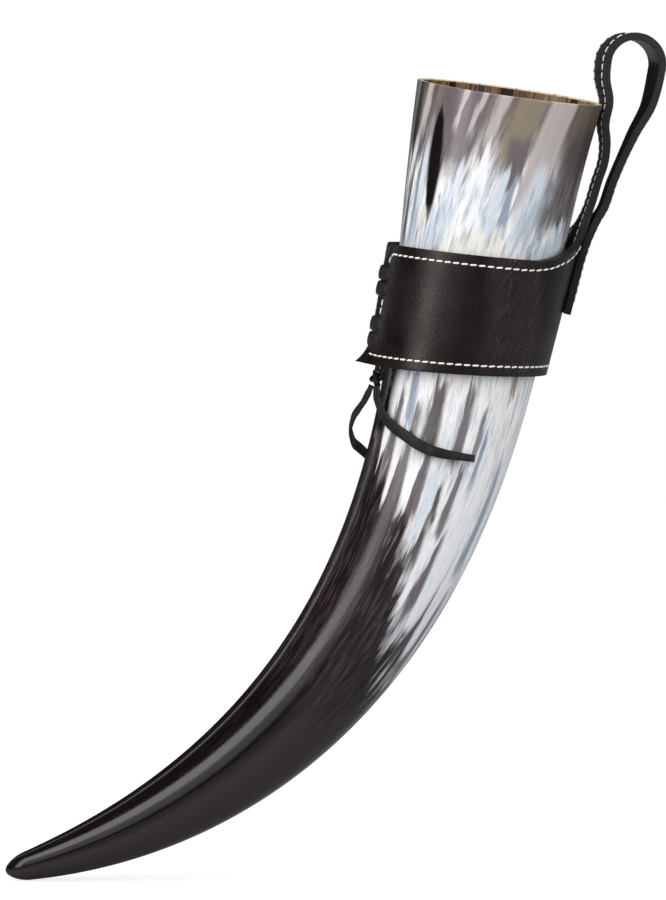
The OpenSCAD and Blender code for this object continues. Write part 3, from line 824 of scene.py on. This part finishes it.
def hollow_material():
    """Inside of the horn: duller, with tan, brown and black stripes down from the rim."""
    m = Shader("horn_inside")
    around = m.attribute("around")
    stripes = m.noise(m.stretch(around, (1, 1, 0.0015)), 5.5, 4, 0.62)
    fine = m.noise(m.stretch(around, (1, 1, 0.001)), 60, 2, 0.6)
    colour = m.ramp(stripes, (0.36, (22, 12, 8)), (0.45, (58, 34, 20)), (0.5, (150, 112, 74)),
                    (0.56, (74, 46, 28)), (0.6, (160, 124, 84)), (0.7, (40, 24, 15)))
    colour = m.mix(m.step(fine, 0.45, 0.75, 0, 0.5), colour, (52, 32, 20))
    return m.dress(colour, m.step(fine, 0.2, 0.8, 0.4, 0.6), fine, 0.2, 0.3)


def rim_material():
    """Cut end of the horn's wall."""
    m = Shader("horn_rim")
    stripes = m.noise(m.stretch(m.attribute("around"), (1, 1, 0.01)), 14, 3, 0.6)
    colour = m.ramp(stripes, (0.35, (150, 118, 82)), (0.5, (226, 206, 176)), (0.7, (196, 170, 136)))
    return m.dress(colour, m.step(stripes, 0.3, 0.7, 0.3, 0.45), stripes, 0.1, 0.2)


# Creased part of the band's front, which also gets a painted sheen: its two sides (mm in the part's frame),
# and the creases' lean in degrees
CREASED_LEFT = (-62, -53)
CREASED_RIGHT = (-42, -34)
CREASE_LEAN = -27
CREASE_DEPTH = 3.2


def leather_material():
    """Waxed leather: pebbled grain, fine creases with painted shade in them, a painted sheen over the
    creased part, and a soft shine.
    """
    m = Shader("leather_waxed")
    place = m.place()
    pebbles = m.voronoi(place, 900)
    fine = m.noise(place, 1400, 3, 0.6)
    broad = m.noise(place, 60, 4, 0.6)
    leaning = m.stretch(place, (1, 1, 1), (0, CREASE_LEAN, 0))
    crease = m.noise(m.stretch(leaning, (620, 90, 75)), 1.0, 4, 0.6, 0.4)
    x = m.times(m.split(place)[0], 1 / MM)
    creased_part_and_sheen = m.window(x, CREASED_LEFT, CREASED_RIGHT)
    creases_and_shade = m.times(m.window(crease, (0.42, 0.5), (0.5, 0.58)), creased_part_and_sheen)
    height = m.plus(m.times(pebbles, 0.6), m.times(fine, 0.3))
    height = m.plus(height, m.times(creases_and_shade, -CREASE_DEPTH))
    colour = m.mix(m.step(broad, 0.4, 0.7), (16, 8, 7), (24, 14, 13))
    # Painted sheen: the creased part is lightened towards purple-grey
    colour = m.mix(m.times(creased_part_and_sheen, 0.35), colour, (52, 42, 49))
    # Painted shade: the crease lines are darkened as well as sunk
    colour = m.mix(m.times(creases_and_shade, 0.75), colour, (15, 11, 12))
    m.set(Specular_IOR_Level=0.45, Specular_Tint=(1, 0.88, 0.87, 1))
    return m.dress(colour, m.step(broad, 0.3, 0.7, 0.29, 0.41), height, 0.42, 0.2)


def suede_material():
    """Inner leather with a short nap."""
    m = Shader("lining_suede")
    place = m.place()
    nap = m.noise(place, 1900, 4, 0.7)
    broad = m.noise(place, 130, 3, 0.6)
    colour = m.ramp(broad, (0.35, (24, 16, 14)), (0.6, (38, 27, 24)), (0.75, (52, 39, 34)))
    colour = m.mix(m.step(nap, 0.5, 0.75, 0, 0.4), colour, (72, 56, 50))
    return m.dress(colour, m.step(nap, 0.3, 0.7, 0.62, 0.8), nap, 0.5, 0.3)


def edge_material():
    """Cut and burnished leather edge."""
    m = Shader("leather_edge")
    fuzz = m.noise(m.place(), 1200, 4, 0.7)
    colour = m.ramp(fuzz, (0.35, (15, 14, 16)), (0.6, (28, 27, 30)), (0.75, (52, 50, 55)))
    return m.dress(colour, m.step(fuzz, 0.3, 0.7, 0.4, 0.6), fuzz, 0.5, 0.3)


def thread_material():
    """Waxed white thread, a little soiled."""
    m = Shader("thread_waxed")
    place = m.place()
    fibre = m.noise(place, 2600, 3, 0.7)
    dirt = m.noise(place, 160, 2, 0.5)
    colour = m.mix(m.step(dirt, 0.5, 0.75), (246, 243, 236), (226, 220, 208))
    colour = m.mix(m.step(fibre, 0.5, 0.75, 0, 0.35), colour, (196, 188, 176))
    return m.dress(colour, m.step(fibre, 0.3, 0.7, 0.55, 0.75), fibre, 0.6, 0.2)


def lace_material():
    """Flat thong of dull dark leather."""
    m = Shader("lace_thong")
    place = m.place()
    fine = m.noise(place, 1500, 4, 0.7)
    broad = m.noise(place, 220, 3, 0.6)
    colour = m.ramp(broad, (0.35, (13, 11, 11)), (0.6, (22, 20, 20)), (0.78, (38, 35, 36)))
    return m.dress(colour, m.step(fine, 0.3, 0.7, 0.45, 0.62), fine, 0.45, 0.3)


HORN = horn_material()
HOLLOW = hollow_material()
RIM = rim_material()
LEATHER = leather_material()
EDGE = edge_material()
SUEDE = suede_material()
THREAD = thread_material()
LACE = lace_material()


# Camera first, then the cords
def make_camera():
    data = bpy.data.cameras.new("camera")
    data.sensor_fit = "VERTICAL"
    data.sensor_height = SENSOR
    data.lens = LENS
    camera = bpy.data.objects.new("camera", data)
    back = Vector((0, -cos_d(VIEW_RISE), sin_d(VIEW_RISE))) * VIEW_DISTANCE
    camera.location = (VIEW_TARGET + back) * MM
    camera.rotation_euler = (math.radians(90 - VIEW_RISE), 0, 0)
    bpy.context.scene.collection.objects.link(camera)
    bpy.context.scene.camera = camera


TAIL_STEPS = 6
TAIL_SIDES = 16
TAIL_SQUARE = 0.6
TAIL_TAPER = 0.36
TAPER_FROM = 0.55


def make_tail(node, route):
    """One free end of the lace, a cord that narrows towards its cut end."""
    path = smooth_path(route, TAIL_STEPS)

    def face(i):
        f = path[i] - TAIL_MIDDLE
        return Vector((f.x, f.y, 0))

    def width(t):
        return TAIL_W * (1 - TAIL_TAPER * ease((t - TAPER_FROM) / (1 - TAPER_FROM)))

    points = tape_rings(path, face, width, lambda t: TAIL_T, TAIL_SIDES, TAIL_SQUARE)
    mesh = mesh_from(node, points, ring_faces(len(path), TAIL_SIDES))
    obj = new_object(node + "_tape", mesh, "frog", "lace", node, LACE)


make_camera()
make_tail("lace_tail_front", TAIL_FRONT)
make_tail("lace_tail_back", TAIL_BACK)

# Horn: rings from the bottom of the hollow up to the rim, over it and down the outside to the tip
HORN_SIDES = 192
OUTER_RINGS = 420
INNER_RINGS = 120
TIP_RINGS = 14
RIM_RINGS = 5
# Last ring of the hollow and of the tip, just short of the quarter turn that would close it
HOLLOW_TURN = 89
TIP_TURN = 88
# Places of the horn's materials on its mesh
OUTSIDE, INSIDE, CUT = range(3)


def horn_rows():
    """Rows (t, radius, material of the faces after it) from the hollow's end over the rim to the tip."""
    rows = []
    for i in range(INNER_RINGS, 0, -1):
        t = HOLLOW_END * sin_d(HOLLOW_TURN * i / INNER_RINGS)
        rows.append((t, hollow_r(t), INSIDE))
    for i in range(RIM_RINGS + 1):
        q = 90 * i / RIM_RINGS
        r = HORN_RADII[0] - RIM_WALL + RIM_EDGE * (1 - cos_d(q))
        rows.append((RIM_EDGE * (1 - sin_d(q)) / HORN_LEN, r, CUT))
    for i in range(RIM_RINGS + 1):
        q = 90 * i / RIM_RINGS
        r = HORN_RADII[0] - RIM_EDGE * (1 - sin_d(q))
        rows.append((RIM_EDGE * (1 - cos_d(q)) / HORN_LEN, r, OUTSIDE))
    for i in range(1, OUTER_RINGS + 1):
        t = RIM_EDGE / HORN_LEN + (TIP_FROM - RIM_EDGE / HORN_LEN) * i / OUTER_RINGS
        rows.append((t, horn_r(t), OUTSIDE))
    for i in range(1, TIP_RINGS + 1):
        t = TIP_FROM + (1 - TIP_FROM) * sin_d(TIP_TURN * i / TIP_RINGS)
        rows.append((t, horn_r(t), OUTSIDE))
    return rows


def make_horn():
    rows = horn_rows()
    points = []
    around = []
    for t, r, _ in rows:
        for j in range(HORN_SIDES):
            a = 360 * j / HORN_SIDES
            points.append(horn_skin(t, r, a))
            around.append((cos_d(a), sin_d(a), t * HORN_LEN))
    mesh = mesh_from("horn", points, ring_faces(len(rows), HORN_SIDES), HORN_TO_PART)
    layer = mesh.attributes.new("around", "FLOAT_VECTOR", "POINT")
    layer.data.foreach_set("vector", np.array(around, dtype=np.float32).ravel())
    new_object("horn_body", mesh, "horn", "horn", "horn", HORN, HOLLOW, RIM)
    for i in range(len(rows) - 1):
        for j in range(HORN_SIDES):
            mesh.polygons[i * HORN_SIDES + j].material_index = rows[i][2]
    # The last two faces close the hollow's end and the tip
    mesh.polygons[len(mesh.polygons) - 2].material_index = INSIDE


make_horn()

# Frog: the outer leather and the lining are one cut each, band and strap together
ROOT_A = arc_deg(STRAP_W / 2 + SWEEP_W)
LACE_ZONE = 180 - arc_deg(2 * HOLE_REACH)
MID_COLS = 32
SIDE_COLS = 64
FLAP_COLS = 24
BAND_ROWS = 32
# Reach of the lower corner's flare, along the band and up it
FLARE_ALONG = 5
FLARE_UP = 6
LEATHER_ROUND = 0.45
LINING_ROUND = 0.2
ROUND_STEPS = 3
SHARP_FROM = 50


def corner_flare(a, h):
    """How far the band's lower corner at the front of the seam stands off."""
    if a >= 0:
        return 0
    from_end = (FLAP_END - abs(a)) / arc_deg(1)
    from_bottom = h - edge_bottom(a)
    return CORNER_FLARE * math.exp(-from_end / FLARE_ALONG) * math.exp(-from_bottom / FLARE_UP)


def frog_sheet(name, d0, d1, to_seam):
    """Mesh of one cut from d0 to d1 off the middle of the leather, and the count of its outer faces."""
    side = [ROOT_A + (LACE_ZONE - ROOT_A) * i / SIDE_COLS for i in range(1, SIDE_COLS + 1)]
    if to_seam:
        turns = [90 * i / FLAP_COLS for i in range(1, FLAP_COLS + 1)]
        side += [LACE_ZONE + (FLAP_END - LACE_ZONE) * sin_d(turn) for turn in turns]
    middle = [ROOT_A * (2 * i / MID_COLS - 1) for i in range(MID_COLS + 1)]
    cols = [-a for a in reversed(side)] + middle + side
    columns = len(cols)
    first = len(side)
    rows = len(STRAP_ROWS)

    def layer(d):
        out = []
        for a in cols:
            for j in range(BAND_ROWS + 1):
                h = edge_bottom(a) + (edge_top(a) - edge_bottom(a)) * j / BAND_ROWS
                out.append(wall_pt(a, h, d + corner_flare(a, h)))
        for k in range(rows):
            half = STRAP_ROWS[k][2]
            for m in range(MID_COLS + 1):
                out.append(strap_pt(k, half * (2 * m / MID_COLS - 1), d))
        return out

    def band(i, j):
        return i * (BAND_ROWS + 1) + j

    def strap(k, m):
        return band(first + m, BAND_ROWS) if k < 0 else columns * (BAND_ROWS + 1) + k * (MID_COLS + 1) + m

    quads = []
    for i in range(columns - 1):
        for j in range(BAND_ROWS):
            quads.append((band(i, j), band(i + 1, j), band(i + 1, j + 1), band(i, j + 1)))
    for k in range(rows):
        for m in range(MID_COLS):
            quads.append((strap(k - 1, m), strap(k - 1, m + 1), strap(k, m + 1), strap(k, m)))
    # The cut's edge is where a quad has no neighbour
    edges = [(q[i], q[(i + 1) % 4]) for q in quads for i in range(4)]
    known = set(edges)
    rim = [(a, b) for a, b in edges if (b, a) not in known]
    outer = layer(d1)
    count = len(outer)
    faces = quads + [tuple(v + count for v in reversed(q)) for q in quads]
    faces += [(b, a, a + count, b + count) for a, b in rim]
    mesh = mesh_from(name, outer + layer(d0), faces, FROG_TO_PART)
    return mesh, len(quads)


def round_edges(obj, width):
    bevel = obj.modifiers.new("edges", "BEVEL")
    bevel.width = width * MM
    bevel.segments = ROUND_STEPS
    bevel.limit_method = "ANGLE"
    bevel.angle_limit = math.radians(SHARP_FROM)
    bevel.harden_normals = False


def make_frog():
    """Outer leather and lining. Gives their surfaces, for the stitches to lie on."""
    split = LINING_T - TOTAL_T / 2
    mesh, quads = frog_sheet("frog_leather", split, TOTAL_T / 2, True)
    leather = new_object("frog_outer", mesh, "frog", "leather", "frog_leather", LEATHER, EDGE, SUEDE)
    for i, polygon in enumerate(mesh.polygons):
        polygon.material_index = 0 if i < quads else 2 if i < 2 * quads else 1
    round_edges(leather, LEATHER_ROUND)
    mesh, quads = frog_sheet("frog_lining", -TOTAL_T / 2, split, False)
    lining = new_object("frog_inner", mesh, "frog", "lining", "frog_lining", SUEDE, EDGE)
    for i, polygon in enumerate(mesh.polygons):
        polygon.material_index = 0 if i < 2 * quads else 1
    round_edges(lining, LINING_ROUND)
    return [BVHTree.FromPolygons([v.co for v in o.data.vertices], [f.vertices for f in o.data.polygons])
            for o in (leather, lining)]


FROG_SKINS = make_frog()

# Stitches: one rounded stitch on each bar of the thread nodes
STITCH_RINGS = 9
STITCH_SIDES = 10
STITCH_SLANT = 5
STITCH_WOBBLE = 3
STITCH_SINK = 0.12
STITCH_REACH = 0.985
STITCH_BLUNT = 4
STITCH_LONG = 0.58
STITCH_WIDE = 0.48
STITCH_HIGH = 0.52


def bars_of(node):
    """Middle and axes (long, wide, thin, as full lengths) of each bar in a node, in the part's frame."""
    mesh = bmesh.new()
    mesh.from_mesh(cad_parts[node].data)
    bmesh.ops.remove_doubles(mesh, verts=mesh.verts, dist=1e-6)
    left = set(mesh.verts)
    bars = []
    for start in mesh.verts:
        if start not in left:
            continue
        left.remove(start)
        todo = [start]
        island = []
        while todo:
            vert = todo.pop()
            island.append(vert.co[:])
            for edge in vert.link_edges:
                other = edge.other_vert(vert)
                if other in left:
                    left.remove(other)
                    todo.append(other)
        corners = np.array(island)
        middle = corners.mean(axis=0)
        _, axes = np.linalg.eigh(np.cov((corners - middle).T))
        sizes = [np.ptp(corners @ axes[:, i]) for i in range(3)]
        bars.append((Vector(middle), [Vector(axes[:, i]) * sizes[i] for i in (2, 1, 0)]))
    mesh.free()
    return bars


def stitch_points(middle, axes):
    """A rounded stitch lying on the leather under a bar."""
    length, width, thick = (axis.length for axis in axes)
    seat = min((skin.find_nearest(middle)[0] for skin in FROG_SKINS), key=lambda p: (p - middle).length)
    up = (middle - seat).normalized()
    along = (axes[0] - up * axes[0].dot(up)).normalized()
    slant = STITCH_SLANT + random.uniform(-STITCH_WOBBLE, STITCH_WOBBLE)
    along = Matrix.Rotation(math.radians(slant), 3, up) @ along
    across = up.cross(along)
    base = seat - up * STITCH_SINK * MM
    points = []
    for i in range(STITCH_RINGS):
        t = -cos_d(180 * i / (STITCH_RINGS - 1)) * STITCH_REACH
        swell = (1 - abs(t) ** STITCH_BLUNT) ** 0.5
        for j in range(STITCH_SIDES):
            c = cos_d(360 * j / STITCH_SIDES)
            s = sin_d(360 * j / STITCH_SIDES)
            lift = thick * STITCH_HIGH * (1 + s) * swell
            side = across * c * width * STITCH_WIDE * swell
            points.append(base + along * t * length * STITCH_LONG + side + up * lift)
    return points


def make_thread(node):
    points = []
    faces = []
    for middle, axes in bars_of(node):
        start = len(points)
        points += [p / MM for p in stitch_points(middle, axes)]
        faces += [tuple(v + start for v in f) for f in ring_faces(STITCH_RINGS, STITCH_SIDES)]
    mesh = mesh_from(node, points, faces)
    new_object(node + "_stitches", mesh, "frog", "thread", node, THREAD)


for node_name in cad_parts:
    if node_name.startswith("thread_"):
        make_thread(node_name)

# Lace: crossings over the seam, runs inside the band, and the knot
END_RUN_GAP = 0.6
LACE_GAP_IN = 0.1
LACE_GAP_OUT = 0.05
LACE_SIDES = 18
LACE_SQUARE = 0.9
CROSSING_STEPS = 36
CROSSING_PAST = 1.2
CROSSING_DEPTH = 0.9
CROSSING_RISE = 0.3
BUMP_END = 0.5
BUMP_RISE = 0.36
BUMP_THICK = 1.1
BUMP_SWELL = 0.4
RUN_STEPS = 12
KNOT_HALF = 3
KNOT_GAP = 0.6
KNOT_DEPTH = 1.1
KNOT_IN = 1
KNOT_THICK = 0.85
KNOT_WIDE = 1.15
KNOT_RINGS = 160
KNOT_SIDES = 14

HOLE_A = arc_deg(HOLE_REACH)
FRONT_A = 180 + HOLE_A
BACK_A = 180 - HOLE_A
END_RUN_A = 180 + arc_deg(SEAM_GAP / 2 + INNER_W / 2 + END_RUN_GAP)
CROSSINGS = [UPPER_PAIR + PAIR_PITCH / 2, UPPER_PAIR - PAIR_PITCH / 2,
             LOWER_PAIR + PAIR_PITCH / 2, LOWER_PAIR - PAIR_PITCH / 2]
LACE_IN = LINING_T - TOTAL_T / 2 - LACE_GAP_IN - LACE_T / 2
LACE_OUT = TOTAL_T / 2 + LACE_GAP_OUT + LACE_T / 2
KNOT_A = (FRONT_A + END_RUN_A) / 2
KNOT_H = edge_bottom(KNOT_A) - KNOT_HALF * KNOT_SCALE - KNOT_THREAD - KNOT_GAP


def make_lace():
    points = []
    faces = []

    def add_tape(path, normals, width, thick):
        start = len(points)
        points.extend(tape_rings(path, lambda i: normals[i], width, thick, LACE_SIDES, LACE_SQUARE))
        faces.extend(tuple(v + start for v in f) for f in ring_faces(len(path), LACE_SIDES))

    def outward(a):
        return Vector((cos_d(a), sin_d(a), 0))

    def bump_width(t):
        return BUMP_W * (BUMP_END + (1 - BUMP_END) * ease(min(t, 1 - t) / BUMP_RISE))

    def bump_thick(t):
        return LACE_T * (BUMP_THICK + BUMP_SWELL * sin_d(180 * t))

    def crossing(h):
        path = []
        normals = []
        past = arc_deg(CROSSING_PAST)
        for i in range(CROSSING_STEPS + 1):
            t = i / CROSSING_STEPS
            a = BACK_A - past + (FRONT_A - BACK_A + 2 * past) * t
            d = -CROSSING_DEPTH + (LACE_OUT + CROSSING_DEPTH) * ease(min(t, 1 - t) / CROSSING_RISE)
            path.append(wall_pt(a, h, d))
            normals.append(outward(a))
        add_tape(path, normals, bump_width, bump_thick)

    def run(a, low, high):
        path = [wall_pt(a, low + (high - low) * i / RUN_STEPS, LACE_IN) for i in range(RUN_STEPS + 1)]
        add_tape(path, [outward(a)] * len(path), lambda t: INNER_W, lambda t: LACE_T)

    for h in CROSSINGS:
        crossing(h)
    half = INNER_W / 2
    end_h = KNOT_H + KNOT_HALF * KNOT_SCALE - KNOT_GAP
    run(BACK_A, CROSSINGS[1] - half, CROSSINGS[0] + half)
    run(FRONT_A, CROSSINGS[2] - half, CROSSINGS[1] + half)
    run(BACK_A, CROSSINGS[3] - half, CROSSINGS[2] + half)
    run(FRONT_A, end_h, CROSSINGS[3] + half)
    run(END_RUN_A, end_h, CROSSINGS[0] + half)
    mesh = mesh_from("lace", points, faces, FROG_TO_PART)
    new_object("lace_thong", mesh, "frog", "lace", "lace", LACE)


def knot_pt(a):
    """Place on the middle line of an overhand knot."""
    x = sin_d(a) + 2 * sin_d(2 * a)
    y = cos_d(a) - 2 * cos_d(2 * a)
    return KNOT_SCALE * Vector((x, y, -KNOT_DEPTH * sin_d(3 * a)))


def make_knot():
    points = []
    for i in range(KNOT_RINGS):
        a = 360 * i / KNOT_RINGS
        p = knot_pt(a)
        run = (knot_pt(a + 1) - knot_pt(a - 1)).normalized()
        r = Vector((p.x, p.y, 0)).normalized()
        up = (r - run * r.dot(run)).normalized()
        across = run.cross(up)
        for j in range(KNOT_SIDES):
            q = 360 * j / KNOT_SIDES
            points.append(p + KNOT_THREAD * (KNOT_THICK * cos_d(q) * up + KNOT_WIDE * sin_d(q) * across))
    place = Matrix.Translation((wall_r(KNOT_H) - KNOT_IN, 0, KNOT_H))
    seat = FROG_TO_PART @ rotation(KNOT_A, "Z") @ place @ rotation(90, "Y")
    mesh = mesh_from("lace_knot", points, ring_faces(KNOT_RINGS, KNOT_SIDES, True), seat)
    new_object("lace_knot_tied", mesh, "frog", "lace", "lace_knot", LACE)


make_lace()
make_knot()

# Floor, light and background, in metres and watts
FLOOR_SIZE = 12.0
FLOOR_TINT = (0.28, 0.28, 0.29, 1)
FLOOR_GLOW = 0.78
FULL_WHITE = (1, 1, 1, 1)
BACKDROP = 1.0
SKY_TINT = (0.95, 0.97, 1, 1)
AMBIENT = 0.81
MIRROR_TINT = (0.9, 0.93, 1, 1)
MIRRORED = 0.02
LIGHT_AIM = Vector((-0.12, -0.01, -0.16))
# Name, place, width and height, power, tint
LIGHTS = [
    ("key_left", (-1.2, -0.8, 0.42), (0.5, 1.5), 9, (1, 0.97, 0.96)),
    ("front_left", (-0.72, -1.2, 0.45), (0.9, 1.2), 3.5, (1, 1, 1)),
    ("fill_right", (0.95, -1.1, 0.3), (0.34, 1.2), 6.5, (1, 1, 1)),
    ("rim_left", (-1.0, 0.75, 0.2), (0.12, 1.2), 0.6, (1, 1, 1)),
    ("rim_right", (0.9, 0.9, 0.1), (0.2, 1.2), 0.3, (1, 1, 1)),
    ("top", (-0.1, -0.1, 1.4), (1.0, 1.0), 7, (1, 1, 1)),
]


def make_floor():
    """Pale floor under the tip, which glows for the camera so that it meets the backdrop."""
    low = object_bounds()[0][2]
    mesh = bpy.data.meshes.new("floor")
    corners = [(-1, -1), (1, -1), (1, 1), (-1, 1)]
    mesh.from_pydata([(x * FLOOR_SIZE, y * FLOOR_SIZE, low) for x, y in corners], [], [(0, 1, 2, 3)])
    floor = bpy.data.objects.new("floor", mesh)
    bpy.context.scene.collection.objects.link(floor)
    m = Shader("floor_white")
    seen = m.add("ShaderNodeLightPath").outputs["Is Camera Ray"]
    m.set(Base_Color=FLOOR_TINT, Roughness=0.9, Specular_IOR_Level=0.0)
    m.set(Emission_Color=FULL_WHITE, Emission_Strength=m.times(seen, FLOOR_GLOW))
    mesh.materials.append(m.material)


def make_world():
    """White backdrop, even soft light, and dim surroundings in reflections."""
    world = bpy.data.worlds.new("studio")
    bpy.context.scene.world = world
    world.use_nodes = True
    n = Nodes(world.node_tree)
    n.tree.nodes.clear()
    rays = n.add("ShaderNodeLightPath").outputs

    def glow(tint, strength):
        node = n.add("ShaderNodeBackground")
        n.put(tint, node.inputs[0])
        n.put(strength, node.inputs[1])
        return node.outputs[0]

    def choose(ray, usual, for_ray):
        node = n.add("ShaderNodeMixShader")
        for value, socket in zip((rays[ray], usual, for_ray), node.inputs):
            n.put(value, socket)
        return node.outputs[0]

    soft = choose("Is Glossy Ray", glow(SKY_TINT, AMBIENT), glow(MIRROR_TINT, MIRRORED))
    seen = choose("Is Camera Ray", soft, glow(FULL_WHITE, BACKDROP))
    n.put(seen, n.add("ShaderNodeOutputWorld").inputs[0])


def make_light(name, place, size, power, tint):
    data = bpy.data.lights.new(name, "AREA")
    data.shape = "RECTANGLE"
    data.size, data.size_y = size
    data.energy = power
    data.color = tint
    light = bpy.data.objects.new(name, data)
    light.location = place
    light.rotation_euler = (LIGHT_AIM - Vector(place)).to_track_quat("-Z", "Y").to_euler()
    bpy.context.scene.collection.objects.link(light)


make_floor()
make_world()
for row in LIGHTS:
    make_light(*row)
bpy.context.scene.view_settings.view_transform = "Standard"
